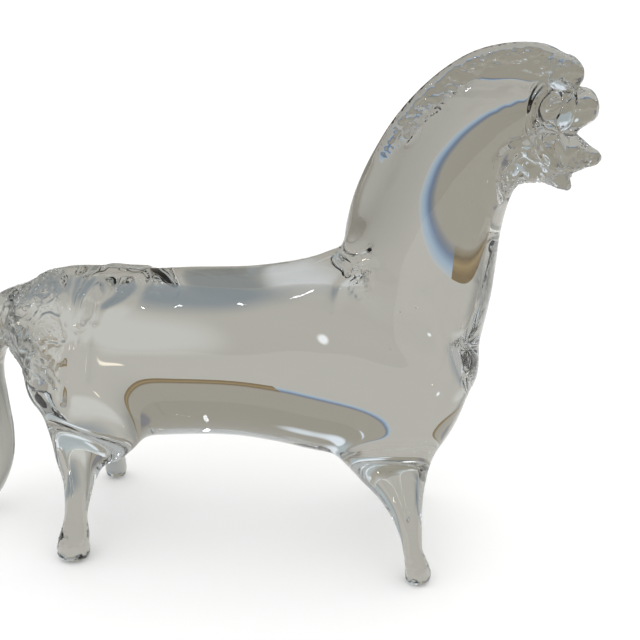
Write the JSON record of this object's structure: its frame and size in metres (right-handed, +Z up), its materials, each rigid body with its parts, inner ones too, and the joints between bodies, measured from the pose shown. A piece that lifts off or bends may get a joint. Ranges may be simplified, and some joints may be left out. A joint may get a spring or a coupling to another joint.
{
  "type": "crystal horse sculpture",
  "caption": "Standing horse figurine in one piece of clear solid glass, with an arched neck, a textured mane ribbon, an open mouth, knob feet and a hanging tail.",
  "frame": {"origin": "centre of the bounding box in plan, on the floor under the feet", "axes": "+X from tail to muzzle, +Y across the body from its near side to its far side, +Z up"},
  "size_m": [0.2912, 0.0946, 0.2316],
  "materials": {
    "clear_crystal": "clear, fire-polished"
  },
  "bodies": {
    "root": {"crystal_horse": "clear_crystal"}
  },
  "joints": []
}
